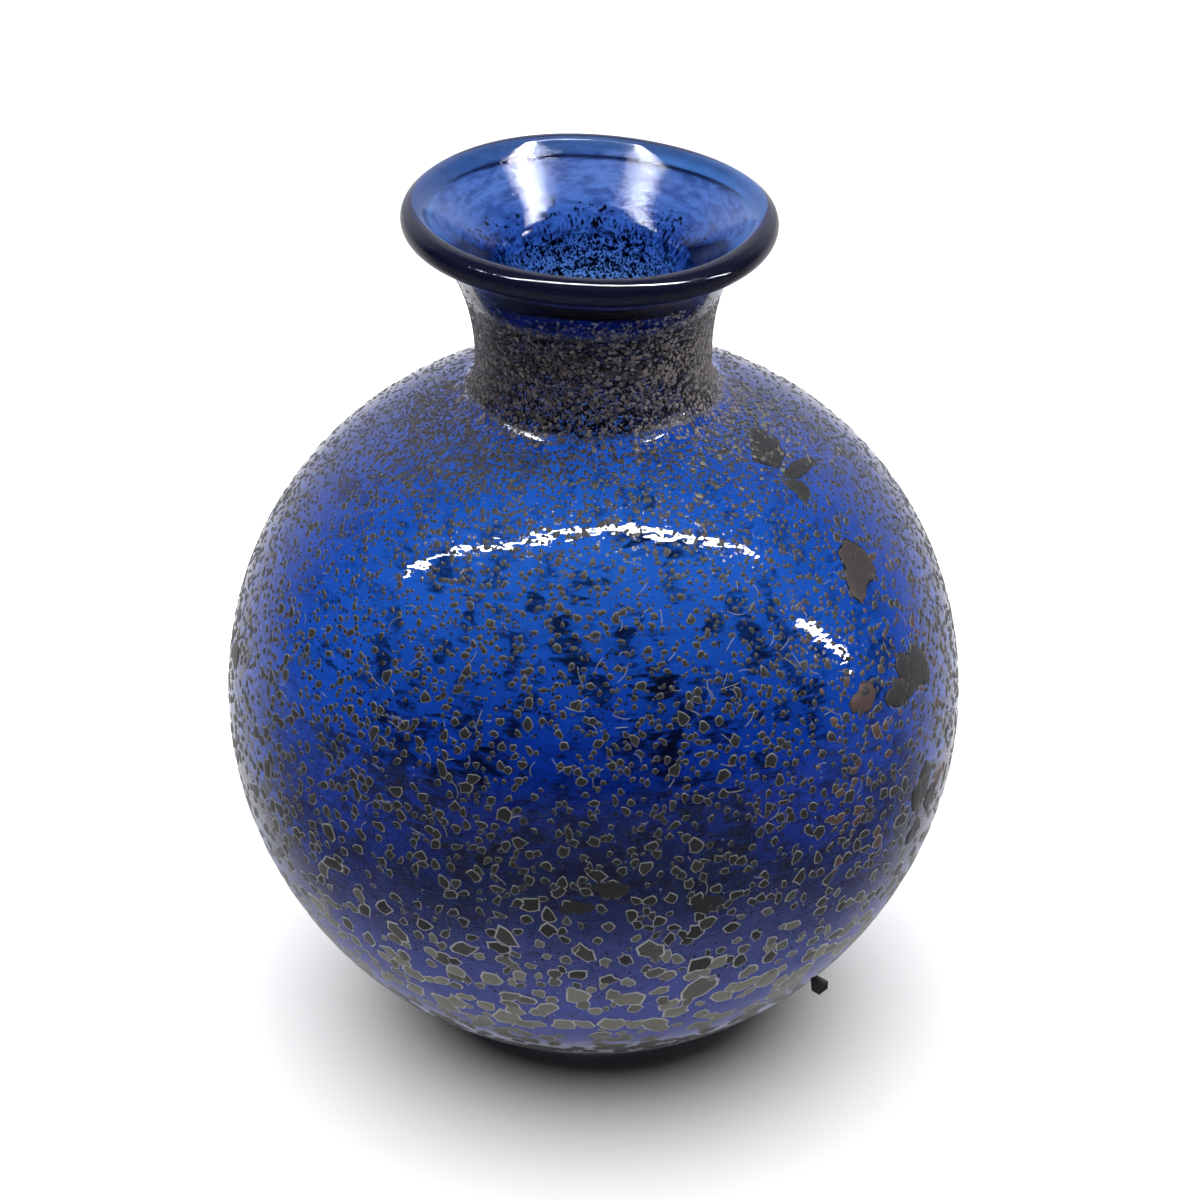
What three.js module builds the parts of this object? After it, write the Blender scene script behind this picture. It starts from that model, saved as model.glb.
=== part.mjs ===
// A globular perfume flask of cobalt-blue glass, blown by hand in one piece: a round belly on a
// small pushed-up base, a short waisted neck, and a funnel mouth with a thick rounded lip.
// It is hollow and open at the mouth. Millimetres, +Z up, origin on the table under the belly.
import * as THREE from 'three';

// Belly
const BELLY_DIAMETER = 68;
const BELLY_HEIGHT = 31.4; // height of its widest ring above the table
const SHOULDER_RISE = 33.1; // from the widest ring to where the shoulder would meet the axis
const SHOULDER_ROUNDNESS = 2.09; // 2 is an ellipse, and more is squarer
const LOWER_ROUNDNESS = 1.94;
const BELLY_WALL = 2.2;

// Base
const FOOT_OUTER_DIAMETER = 27.2;
const FOOT_RING_WIDTH = 3.1; // of the flat ring that the flask stands on
const KICK_DEPTH = 1.5; // how far the middle of the base is pushed up
const FLOOR_THICKNESS = 3.4;
const FLOOR_DIAMETER = 16.4; // inside, where the wall has run out into the floor

// Neck
const WAIST_DIAMETER = 21.2; // outside, at the narrowest ring
const WAIST_RISE = 3.8; // from the top of the shoulder to the narrowest ring
const NECK_WALL = 2.2;
const SHOULDER_FILLET = 2.6; // how far the neck spreads where it meets the shoulder

// Mouth
const MOUTH_RISE = 14.6; // from the narrowest ring to the rim
const RIM_DIAMETER = 33.3;
const LIP_RADIUS = 1.3; // of the rounded outer edge
const LIP_WIDTH = 2.3; // from the outer edge to the edge of the funnel
const LIP_CORNER_RADIUS = 1; // where the lip turns down into the funnel
const THROAT_DEPTH = 5.3; // from the rim down to the foot of the funnel
const THROAT_SPREAD = 0.7; // how much wider than the neck's bore the funnel's foot is
const THROAT_TURN = 2.1; // height of the turn from the funnel's foot into the bore

// What the hand left uneven
const RIM_TILT_DEG = 1.7; // the lip stands higher on the -X side
const MOUTH_LEAN = 0.35; // sideways, towards -X
const RIM_WAVE = 0.12; // rise and fall of the lip, three times round

// Shapes of the free curves, as shares of the width or height that each one crosses
const FILLET_PULL = 0.62; // how far the shoulder runs straight on before it turns up the neck
const FILLET_HOLD = 0.3; // how low the neck's upright line still pulls on that turn
const FLARE_HOLD = 0.58; // how high the waist stays upright before it spreads
const FLARE_REACH = 0.5; // how flat the spread runs into the lip
const FLARE_DROP = 0.05;
const KICK_POWER = 1.5; // 1 is a cosine dome, and more runs out flatter into the ring

// Arcs of the lip, in degrees from the outward direction
const LIP_FROM_DEG = -80; // where the flare runs into the underside of the lip
const LIP_TO_DEG = 90;
const LIP_CORNER_TO_DEG = 132; // where it runs on straight down the funnel

const TURNS = 64; // facets round the axis

const bellyRadius = BELLY_DIAMETER / 2;
const footRadius = FOOT_OUTER_DIAMETER / 2;
const waistRadius = WAIST_DIAMETER / 2;
const boreRadius = waistRadius - NECK_WALL;
const rimRadius = RIM_DIAMETER / 2;

// Height of a rounded quarter-curve over its widest point, at a radius.
function curveHeight(radius, { reach, rise, roundness }) {
  return rise * (1 - (radius / reach) ** roundness) ** (1 / roundness);
}

// The lower half would reach this far below the widest ring if the foot didn't cut it off.
const lowerDrop = BELLY_HEIGHT
  / curveHeight(footRadius, { reach: bellyRadius, rise: 1, roundness: LOWER_ROUNDNESS });

const outerShoulder = { reach: bellyRadius, rise: SHOULDER_RISE, roundness: SHOULDER_ROUNDNESS };
const innerShoulder = {
  reach: bellyRadius - BELLY_WALL, rise: SHOULDER_RISE - BELLY_WALL, roundness: SHOULDER_ROUNDNESS,
};
const outerLower = { reach: bellyRadius, rise: lowerDrop, roundness: LOWER_ROUNDNESS };
// The wall grows thicker towards the floor, as the glass sags there while it is soft.
const innerLower = {
  reach: bellyRadius - BELLY_WALL, rise: BELLY_HEIGHT - FLOOR_THICKNESS, roundness: LOWER_ROUNDNESS,
};

const shoulderTop = BELLY_HEIGHT + curveHeight(waistRadius + SHOULDER_FILLET, outerShoulder);
const waistHeight = shoulderTop + WAIST_RISE;
const rimHeight = waistHeight + MOUTH_RISE;

// Points on one of the belly's quarter-curves. side is 1 above the widest ring and -1 below it.
function bellyCurve(curve, { side, fromRadius, toRadius, steps }) {
  const { reach, rise, roundness } = curve;
  const angleAt = (radius) => Math.acos((radius / reach) ** (roundness / 2));
  const start = angleAt(fromRadius);
  const end = angleAt(toRadius);
  const points = [];
  for (let i = 0; i <= steps; i++) {
    const angle = start + ((end - start) * i) / steps;
    const radius = reach * Math.cos(angle) ** (2 / roundness);
    const height = rise * Math.sin(angle) ** (2 / roundness);
    points.push(new THREE.Vector2(radius, BELLY_HEIGHT + side * height));
  }
  return points;
}

// The turn between a shoulder and the upright wall of the neck, from the shoulder to the waist.
function shoulderToNeck(shoulder, neckRadius, steps) {
  const radius = neckRadius + SHOULDER_FILLET;
  const step = radius / 1000;
  const height = curveHeight(radius, shoulder);
  const uphill = new THREE.Vector2(-step, curveHeight(radius - step, shoulder) - height).normalize();
  const start = new THREE.Vector2(radius, BELLY_HEIGHT + height);
  const pull = start.clone().addScaledVector(uphill, FILLET_PULL * SHOULDER_FILLET);
  const hold = new THREE.Vector2(neckRadius, start.y + FILLET_HOLD * (waistHeight - start.y));
  const end = new THREE.Vector2(neckRadius, waistHeight);
  return new THREE.CubicBezierCurve(start, pull, hold, end).getPoints(steps);
}

function arc(centre, radius, fromDeg, toDeg, steps) {
  const points = [];
  for (let i = 0; i <= steps; i++) {
    const angle = THREE.MathUtils.degToRad(fromDeg + ((toDeg - fromDeg) * i) / steps);
    const spoke = new THREE.Vector2(Math.cos(angle), Math.sin(angle));
    points.push(centre.clone().addScaledVector(spoke, radius));
  }
  return points;
}

// The underside: a shallow dome pushed up inside the flat ring that the flask stands on.
function baseOutline() {
  const steps = 4;
  const ring = footRadius - FOOT_RING_WIDTH;
  const points = [];
  for (let i = 0; i < steps; i++) {
    const share = i / steps;
    const height = KICK_DEPTH * Math.cos((Math.PI / 2) * share) ** KICK_POWER;
    points.push(new THREE.Vector2(ring * share, height));
  }
  return [...points, new THREE.Vector2(ring, 0)];
}

function outerBelly() {
  const lower = bellyCurve(outerLower, {
    side: -1, fromRadius: footRadius, toRadius: bellyRadius, steps: 9,
  });
  lower[0].y = 0;
  const upper = bellyCurve(outerShoulder, {
    side: 1, fromRadius: bellyRadius, toRadius: waistRadius + SHOULDER_FILLET, steps: 10,
  });
  return [...lower, ...upper.slice(1)];
}

const lipCentre = new THREE.Vector2(rimRadius - LIP_RADIUS, rimHeight - LIP_RADIUS);

// The neck's outside spreads from the waist into the underside of the lip.
function outerFlare() {
  const waist = new THREE.Vector2(waistRadius, waistHeight);
  const under = arc(lipCentre, LIP_RADIUS, LIP_FROM_DEG, LIP_FROM_DEG, 1)[0];
  const rise = under.y - waist.y;
  const spread = under.x - waist.x;
  const upright = new THREE.Vector2(waist.x, waist.y + FLARE_HOLD * rise);
  const spreading = new THREE.Vector2(under.x - FLARE_REACH * spread, under.y - FLARE_DROP * rise);
  return new THREE.CubicBezierCurve(waist, upright, spreading, under).getPoints(6);
}

function lip() {
  const funnelEdge = rimRadius - LIP_WIDTH;
  const corner = new THREE.Vector2(funnelEdge + LIP_CORNER_RADIUS, rimHeight - LIP_CORNER_RADIUS);
  return [
    ...arc(lipCentre, LIP_RADIUS, LIP_FROM_DEG, LIP_TO_DEG, 8),
    ...arc(corner, LIP_CORNER_RADIUS, LIP_TO_DEG, LIP_CORNER_TO_DEG, 3),
  ];
}

// The foot of the funnel and its turn into the neck's upright bore.
function throat() {
  const foot = new THREE.Vector2(boreRadius + THROAT_SPREAD, rimHeight - THROAT_DEPTH);
  const corner = new THREE.Vector2(boreRadius, foot.y - THROAT_TURN / 3);
  const below = new THREE.Vector2(boreRadius, foot.y - THROAT_TURN);
  return new THREE.QuadraticBezierCurve(foot, corner, below).getPoints(2);
}

function innerFloor(edge) {
  const height = KICK_DEPTH + FLOOR_THICKNESS;
  const nearEdge = new THREE.Vector2((edge.x * 2) / 3, edge.y - KICK_DEPTH / 3);
  const nearMiddle = new THREE.Vector2(edge.x / 3, height);
  const middle = new THREE.Vector2(0, height);
  return new THREE.CubicBezierCurve(edge, nearEdge, nearMiddle, middle).getPoints(4);
}

// The hollow, from the waist down to the middle of the floor.
function hollow() {
  const neck = shoulderToNeck(innerShoulder, boreRadius, 4).reverse();
  const upper = bellyCurve(innerShoulder, {
    side: 1, fromRadius: boreRadius + SHOULDER_FILLET, toRadius: innerShoulder.reach, steps: 9,
  });
  const lower = bellyCurve(innerLower, {
    side: -1, fromRadius: innerLower.reach, toRadius: FLOOR_DIAMETER / 2, steps: 9,
  });
  const floor = innerFloor(lower[lower.length - 1]);
  return [...neck, ...upper.slice(1), ...lower.slice(1), ...floor.slice(1)];
}

function outline() {
  return [
    ...baseOutline(),
    ...outerBelly(),
    ...shoulderToNeck(outerShoulder, waistRadius, 4).slice(1),
    ...outerFlare().slice(1),
    ...lip().slice(1),
    ...throat(),
    ...hollow(),
  ];
}

// Leaves the belly true, and tips, leans and waves the mouth as the hand did.
function unevenMouth(geometry) {
  const place = geometry.getAttribute('position');
  const tilt = Math.tan(THREE.MathUtils.degToRad(RIM_TILT_DEG));
  for (let i = 0; i < place.count; i++) {
    const [x, y, z] = [place.getX(i), place.getY(i), place.getZ(i)];
    const share = THREE.MathUtils.smoothstep(z, waistHeight, rimHeight);
    const wave = RIM_WAVE * Math.cos(3 * Math.atan2(y, x));
    place.setXYZ(i, x - MOUTH_LEAN * share, y, z + share * (wave - tilt * x));
  }
  return geometry;
}

function flaskGeometry() {
  const turned = new THREE.LatheGeometry(outline(), TURNS);
  turned.rotateX(Math.PI / 2);
  return unevenMouth(turned);
}

const cobaltGlass = new THREE.MeshStandardMaterial({
  color: new THREE.Color(0.03, 0.09, 0.5),
  roughness: 0.15,
  metalness: 0,
});

const flask = new THREE.Mesh(flaskGeometry(), cobaltGlass);
flask.name = 'flask';

const part = new THREE.Group();
part.add(flask);

export default part;
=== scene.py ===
"""A globular perfume flask of cobalt-blue blown glass, under a spotted grey weathering crust."""
import math
import random

import bpy
import numpy as np
from bpy.props import FloatProperty, FloatVectorProperty, IntProperty, PointerProperty
from mathutils import Matrix, Vector


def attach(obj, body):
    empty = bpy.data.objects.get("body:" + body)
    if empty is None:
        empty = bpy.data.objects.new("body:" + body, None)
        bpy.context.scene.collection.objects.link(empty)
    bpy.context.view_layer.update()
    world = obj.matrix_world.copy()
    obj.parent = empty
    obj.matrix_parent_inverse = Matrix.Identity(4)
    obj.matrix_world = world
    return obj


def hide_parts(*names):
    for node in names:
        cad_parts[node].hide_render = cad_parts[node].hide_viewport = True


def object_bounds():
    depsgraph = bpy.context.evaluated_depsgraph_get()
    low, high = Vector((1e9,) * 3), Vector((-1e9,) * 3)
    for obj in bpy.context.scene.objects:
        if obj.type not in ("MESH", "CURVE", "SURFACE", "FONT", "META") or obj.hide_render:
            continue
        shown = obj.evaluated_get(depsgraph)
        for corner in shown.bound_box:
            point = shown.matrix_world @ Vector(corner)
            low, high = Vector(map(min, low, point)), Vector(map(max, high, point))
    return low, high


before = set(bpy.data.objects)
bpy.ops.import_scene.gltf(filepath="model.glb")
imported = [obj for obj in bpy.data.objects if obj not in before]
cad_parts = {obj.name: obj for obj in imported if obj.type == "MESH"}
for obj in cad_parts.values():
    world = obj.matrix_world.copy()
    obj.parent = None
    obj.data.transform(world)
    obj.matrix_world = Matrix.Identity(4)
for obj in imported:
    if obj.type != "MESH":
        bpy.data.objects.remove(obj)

bl_info = {
    "name": "Weathered Glass Flask",
    "version": (1, 0, 0),
    "blender": (4, 5, 0),
    "location": "View3D > Sidebar > Flask",
    "description": "Models a blown glass flask and the weathering crust on it",
    "category": "Add Mesh",
}

CAD_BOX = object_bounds()
BODY = "root"
NODE = "flask"
MM = 0.001

# Shapes of the free curves, as shares of the width or height that each one crosses.
FILLET_PULL = 0.62
FILLET_HOLD = 0.3
FLARE_HOLD = 0.58
FLARE_REACH = 0.5
FLARE_DROP = 0.05
KICK_POWER = 1.5

# Arcs of the lip, in degrees from the outward direction.
LIP_FROM = -80
LIP_TO = 90
LIP_CORNER_TO = 132
LIP_BAND_FROM = 38  # a slightly flatter band, which catches the light
LIP_BAND_TO = 68
LIP_BAND_MIDDLE = math.radians((LIP_BAND_FROM + LIP_BAND_TO) / 2)
LIP_BAND_BULGE = 0.988  # how far out the band's middle control point is, in lip radii

BASE_STEPS = 16  # in the outline, from the middle of the base to the foot ring
WALL_REACH = 0.3 * MM  # how near to the outer wall a vertex has to be to count as outside
SAME_PLACE = 0.01 * MM


def length(name, description, default):
    return FloatProperty(name=name, description=description, default=default, unit="LENGTH",
                         precision=5)


def colour(name, description, default):
    return FloatVectorProperty(name=name, description=description, default=default, size=3,
                               subtype="COLOR", min=0, max=1)


def share(name, description, default):
    return FloatProperty(name=name, description=description, default=default, subtype="FACTOR",
                         min=0, max=1)


class FlaskSizes(bpy.types.PropertyGroup):
    belly_diameter: length("Belly diameter", "Across the widest ring, with its crust",
                           CAD_BOX[1].x - CAD_BOX[0].x)
    belly_height: length("Belly height", "Of the widest ring above the table", 31.4 * MM)
    shoulder_rise: length("Shoulder rise", "From the widest ring to the shoulder's apex", 33.1 * MM)
    shoulder_roundness: FloatProperty(name="Shoulder roundness", default=2.09,
                                      description="2 is an ellipse, and more is squarer")
    lower_roundness: FloatProperty(name="Lower roundness", default=1.94,
                                   description="2 is an ellipse, and less is more pointed")
    belly_wall: length("Belly wall", "Thickness of the glass at the widest ring", 2.2 * MM)
    foot_diameter: length("Foot diameter", "Outside the ring that the flask stands on", 27.2 * MM)
    foot_ring_width: length("Foot ring width", "Of the flat ring", 3.1 * MM)
    kick_depth: length("Kick", "How far the middle of the base is pushed up", 1.5 * MM)
    floor_thickness: length("Floor", "Thickness of the glass over the kick", 3.4 * MM)
    floor_diameter: length("Floor diameter", "Inside, where the wall has run out", 16.4 * MM)
    waist_diameter: length("Waist diameter", "Outside the neck's narrowest ring", 21.2 * MM)
    waist_rise: length("Waist rise", "From the shoulder's top to the narrowest ring", 3.8 * MM)
    neck_wall: length("Neck wall", "Thickness of the glass in the neck", 2.2 * MM)
    shoulder_fillet: length("Shoulder fillet", "How far the neck spreads on to it", 2.6 * MM)
    mouth_rise: length("Mouth rise", "From the narrowest ring to the rim", 14.6 * MM)
    rim_diameter: length("Rim diameter", "Outside the lip", 33.3 * MM)
    lip_radius: length("Lip radius", "Of the rounded outer edge", 1.3 * MM)
    lip_width: length("Lip width", "From the outer edge to the funnel", 2.3 * MM)
    lip_corner_radius: length("Lip corner", "Where the lip turns into the funnel", 1.0 * MM)
    throat_depth: length("Throat depth", "From the rim to the funnel's foot", 5.3 * MM)
    throat_spread: length("Throat spread", "Of the funnel's foot over the bore", 0.7 * MM)
    throat_turn: length("Throat turn", "Height of the turn into the bore", 2.1 * MM)
    rim_tilt: FloatProperty(name="Rim tilt", description="Higher on the -X side", subtype="ANGLE",
                            default=math.radians(1.7))
    mouth_lean: length("Mouth lean", "Sideways, towards -X", 0.35 * MM)
    rim_wave: length("Rim wave", "Rise and fall of the lip", 0.12 * MM)
    turns: IntProperty(name="Turns", description="Facets round the axis", default=160)


class GlassFinish(bpy.types.PropertyGroup):
    tint: colour("Tint", "What a path of the given depth lets through", (0.082, 0.25, 0.61))
    tint_depth: length("Tint depth", "Path through the glass that gives the tint", 2.5 * MM)
    roughness: share("Roughness", "Of the bare glass", 0.015)
    speck: colour("Speck", "Dark weathered specks", (0.06, 0.055, 0.055))
    dust: colour("Dust", "Paler film and dust", (0.10, 0.10, 0.11))
    neck: colour("Neck", "Darkened film on the neck", (0.028, 0.025, 0.031))
    # Painted glow: a dull blue film low on the belly, standing in for light coming through the
    # glass.
    painted_glow: colour("Bloom", "Dull blue film low on the belly", (0.060, 0.080, 0.32))
    # Painted glow: a navy film on the lip, standing in for light through its thick roll.
    painted_lip_glow: colour("Lip veil", "Thin dull film on the lip", (0.010, 0.013, 0.075))
    # Painted shade: colour of the dark film round the foot.
    painted_foot_shade: colour("Dirt", "Round the foot", (0.012, 0.012, 0.014))
    stain: colour("Stain", "What the lightly stained mouth lets through", (0.24, 0.17, 0.34))
    deep_stain: colour("Deep stain", "Where the mouth is stained most", (0.06, 0.04, 0.12))
    inner_roughness: share("Inner roughness", "Of the weathered inside", 0.09)


class CrustFinish(bpy.types.PropertyGroup):
    heart: colour("Heart", "Dark middle of a spot", (0.018, 0.018, 0.020))
    # Low on the belly spots lean to this paler colour as painted light, standing in for the floor's
    # reflection; elsewhere it is their own colour.
    dull: colour("Dull", "Paler grey-olive middle of a spot", (0.17, 0.17, 0.145))
    edge: colour("Edge", "Pale line round a spot", (0.38, 0.38, 0.37))
    rust: colour("Rust", "Reddish spots", (0.085, 0.042, 0.034))
    lilac: colour("Lilac", "Paler grains on the neck", (0.28, 0.25, 0.25))
    neck_dark: colour("Neck dark", "Darker grains on the neck", (0.032, 0.029, 0.034))
    relief: length("Relief", "How far a spot stands out of the glass", 0.06 * MM)
    root: length("Root", "How deep a spot goes into the glass", 0.04 * MM)
    seed: IntProperty(name="Seed", description="Start of the random draws", default=7)


class StageSettings(bpy.types.PropertyGroup):
    camera_distance: length("Camera distance", "From the middle of the belly", 408 * MM)
    camera_elevation: FloatProperty(name="Camera elevation", subtype="ANGLE",
                                    description="Above the belly", default=math.radians(30.5))
    lens: FloatProperty(name="Lens", description="Focal length in millimetres", default=131.1)
    shift_x: FloatProperty(name="Shift X", description="Of the frame, in widths", default=0.0054)
    shift_y: FloatProperty(name="Shift Y", description="Of the frame, in widths", default=0.0737)
    floor_colour: colour("Floor", "Colour of the floor", (0.90, 0.89, 0.885))


# Outline of the flask

def curve_height(radius, reach, rise, roundness):
    """Height of a rounded quarter-curve over its widest point, at a radius."""
    return rise * (1 - (radius / reach) ** roundness) ** (1 / roundness)


def quarter(sizes, reach, rise, roundness, side, from_radius, to_radius, steps):
    """Points on one of the belly's quarter-curves; side is 1 above the widest ring, -1 below."""
    start = math.acos(min(1, (from_radius / reach) ** (roundness / 2)))
    end = math.acos(min(1, (to_radius / reach) ** (roundness / 2)))
    points = []
    for i in range(steps + 1):
        angle = start + (end - start) * i / steps
        radius = reach * max(0, math.cos(angle)) ** (2 / roundness)
        height = rise * max(0, math.sin(angle)) ** (2 / roundness)
        points.append(Vector((radius, sizes.belly_height + side * height)))
    return points


def bezier(controls, steps):
    """Points on a Bezier curve of any degree, by repeated blending of its control points."""
    points = []
    for i in range(steps + 1):
        blend = i / steps
        row = list(controls)
        while len(row) > 1:
            row = [a.lerp(b, blend) for a, b in zip(row, row[1:])]
        points.append(row[0])
    return points


def arc(centre, radius, from_degrees, to_degrees, steps):
    points = []
    for i in range(steps + 1):
        angle = math.radians(from_degrees + (to_degrees - from_degrees) * i / steps)
        points.append(centre + radius * Vector((math.cos(angle), math.sin(angle))))
    return points


class Outline:
    """The flask's section, outside from the middle of the base to the lip, then inside."""

    def __init__(self, sizes, crust_relief):
        self.sizes = s = sizes
        self.belly_radius = s.belly_diameter / 2 - crust_relief
        self.foot_radius = s.foot_diameter / 2
        self.waist_radius = s.waist_diameter / 2 - crust_relief
        self.bore_radius = s.waist_diameter / 2 - s.neck_wall
        self.rim_radius = s.rim_diameter / 2
        self.inner_reach = s.belly_diameter / 2 - s.belly_wall
        self.shoulder_rise = s.shoulder_rise - crust_relief
        self.lower_drop = s.belly_height / curve_height(
            self.foot_radius, self.belly_radius, 1, s.lower_roundness)
        shoulder_top = curve_height(s.waist_diameter / 2 + s.shoulder_fillet, s.belly_diameter / 2,
                                    s.shoulder_rise, s.shoulder_roundness)
        self.waist_height = s.belly_height + shoulder_top + s.waist_rise
        self.rim_height = self.waist_height + s.mouth_rise
        self.lip_centre = Vector((self.rim_radius - s.lip_radius, self.rim_height - s.lip_radius))

    def base(self):
        ring = self.foot_radius - self.sizes.foot_ring_width
        points = []
        for i in range(BASE_STEPS):
            share = i / BASE_STEPS
            height = self.sizes.kick_depth * math.cos(math.pi / 2 * share) ** KICK_POWER
            points.append(Vector((ring * share, height)))
        return points + [Vector((ring, 0)), Vector((self.foot_radius, 0))]

    def shoulder_to_neck(self, reach, rise, neck_radius, steps):
        s = self.sizes
        radius = neck_radius + s.shoulder_fillet
        step = radius / 1000
        height = curve_height(radius, reach, rise, s.shoulder_roundness)
        nearer = curve_height(radius - step, reach, rise, s.shoulder_roundness)
        uphill = Vector((-step, nearer - height)).normalized()
        start = Vector((radius, s.belly_height + height))
        pull = start + FILLET_PULL * s.shoulder_fillet * uphill
        hold = Vector((neck_radius, start.y + FILLET_HOLD * (self.waist_height - start.y)))
        return bezier([start, pull, hold, Vector((neck_radius, self.waist_height))], steps)

    def flare(self):
        waist = Vector((self.waist_radius, self.waist_height))
        under = arc(self.lip_centre, self.sizes.lip_radius, LIP_FROM, LIP_FROM, 1)[0]
        rise = under.y - waist.y
        spread = under.x - waist.x
        upright = Vector((waist.x, waist.y + FLARE_HOLD * rise))
        spreading = Vector((under.x - FLARE_REACH * spread, under.y - FLARE_DROP * rise))
        return bezier([waist, upright, spreading, under], 22)

    def outside(self):
        s = self.sizes
        lower = quarter(s, self.belly_radius, self.lower_drop, s.lower_roundness, -1,
                        self.foot_radius, self.belly_radius, 34)
        upper = quarter(s, self.belly_radius, self.shoulder_rise, s.shoulder_roundness, 1,
                        self.belly_radius, self.waist_radius + s.shoulder_fillet, 34)
        neck = self.shoulder_to_neck(self.belly_radius, self.shoulder_rise, self.waist_radius, 12)
        return lower[1:] + upper[1:] + neck[1:] + self.flare()[1:]

    def lip(self):
        s = self.sizes
        corner = Vector((self.rim_radius - s.lip_width + s.lip_corner_radius,
                         self.rim_height - s.lip_corner_radius))
        rising = arc(self.lip_centre, s.lip_radius, LIP_FROM, LIP_BAND_FROM, 14)
        top = arc(self.lip_centre, s.lip_radius, LIP_BAND_TO, LIP_TO, 3)
        outward = Vector((math.cos(LIP_BAND_MIDDLE), math.sin(LIP_BAND_MIDDLE)))
        bulge = self.lip_centre + LIP_BAND_BULGE * s.lip_radius * outward
        band = bezier([rising[-1], bulge, top[0]], 8)
        return (rising[1:] + band[1:] + top[1:]
                + arc(corner, s.lip_corner_radius, LIP_TO, LIP_CORNER_TO, 8)[1:])

    def throat(self):
        s = self.sizes
        foot = Vector((self.bore_radius + s.throat_spread, self.rim_height - s.throat_depth))
        edge = self.lip()[-1]
        turn = bezier([foot, Vector((self.bore_radius, foot.y - s.throat_turn / 3)),
                       Vector((self.bore_radius, foot.y - s.throat_turn))], 6)
        return [edge.lerp(foot, i / 6) for i in range(1, 6)] + turn

    def hollow(self):
        s = self.sizes
        rise = s.shoulder_rise - s.belly_wall
        bore = [Vector((self.bore_radius, self.throat()[-1].y)),
                Vector((self.bore_radius, self.waist_height))]
        neck = self.shoulder_to_neck(self.inner_reach, rise, self.bore_radius, 10)[::-1]
        upper = quarter(s, self.inner_reach, rise, s.shoulder_roundness, 1,
                        self.bore_radius + s.shoulder_fillet, self.inner_reach, 30)
        lower = quarter(s, self.inner_reach, s.belly_height - s.floor_thickness,
                        s.lower_roundness, -1, self.inner_reach, s.floor_diameter / 2, 30)
        edge = lower[-1]
        middle = Vector((0, s.kick_depth + s.floor_thickness))
        floor = bezier([edge, Vector((edge.x * 2 / 3, edge.y - s.kick_depth / 3)),
                        Vector((edge.x / 3, middle.y)), middle], 10)
        return ([bore[0].lerp(bore[1], i / 4) for i in range(1, 4)] + neck + upper[1:]
                + lower[1:] + floor[1:])

    def uneven(self, x, y, z):
        """Tips, leans and waves the mouth as the hand did, and leaves the belly true."""
        s = self.sizes
        blend = np.clip((z - self.waist_height) / s.mouth_rise, 0, 1)
        blend = blend * blend * (3 - 2 * blend)
        wave = s.rim_wave * np.cos(3 * np.arctan2(y, x))
        return x - s.mouth_lean * blend, y, z + blend * (wave - math.tan(s.rim_tilt) * x)


# Modelling helpers

def deselect_all():
    for item in bpy.context.selected_objects:
        item.select_set(False)


def edit_mode():
    bpy.ops.object.mode_set(mode="EDIT")


def object_mode():
    bpy.ops.object.mode_set(mode="OBJECT")


def select_faces(piece, chosen):
    """Selects the faces that a test picks, from object mode, and enters edit mode."""
    object_mode()
    for vertex in piece.data.vertices:
        vertex.select = False
    for edge in piece.data.edges:
        edge.select = False
    for face in piece.data.polygons:
        face.select = chosen(face)
    edit_mode()
    bpy.ops.mesh.select_mode(type="FACE")


def finish_piece(piece, name, material):
    piece.name = name
    piece.data.name = name
    piece.data.materials.clear()
    piece.data.materials.append(material)
    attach(piece, BODY)


# Shader maths

class Value:
    """A socket that takes part in sums and products, each of which adds a Math node."""

    def __init__(self, nodes, socket):
        self.nodes = nodes
        self.socket = socket

    def __add__(self, other):
        return self.nodes.maths("ADD", self, other)

    def __sub__(self, other):
        return self.nodes.maths("SUBTRACT", self, other)

    def __rsub__(self, other):
        return self.nodes.maths("SUBTRACT", other, self)

    def __mul__(self, other):
        return self.nodes.maths("MULTIPLY", self, other)

    __radd__ = __add__
    __rmul__ = __mul__


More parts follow.
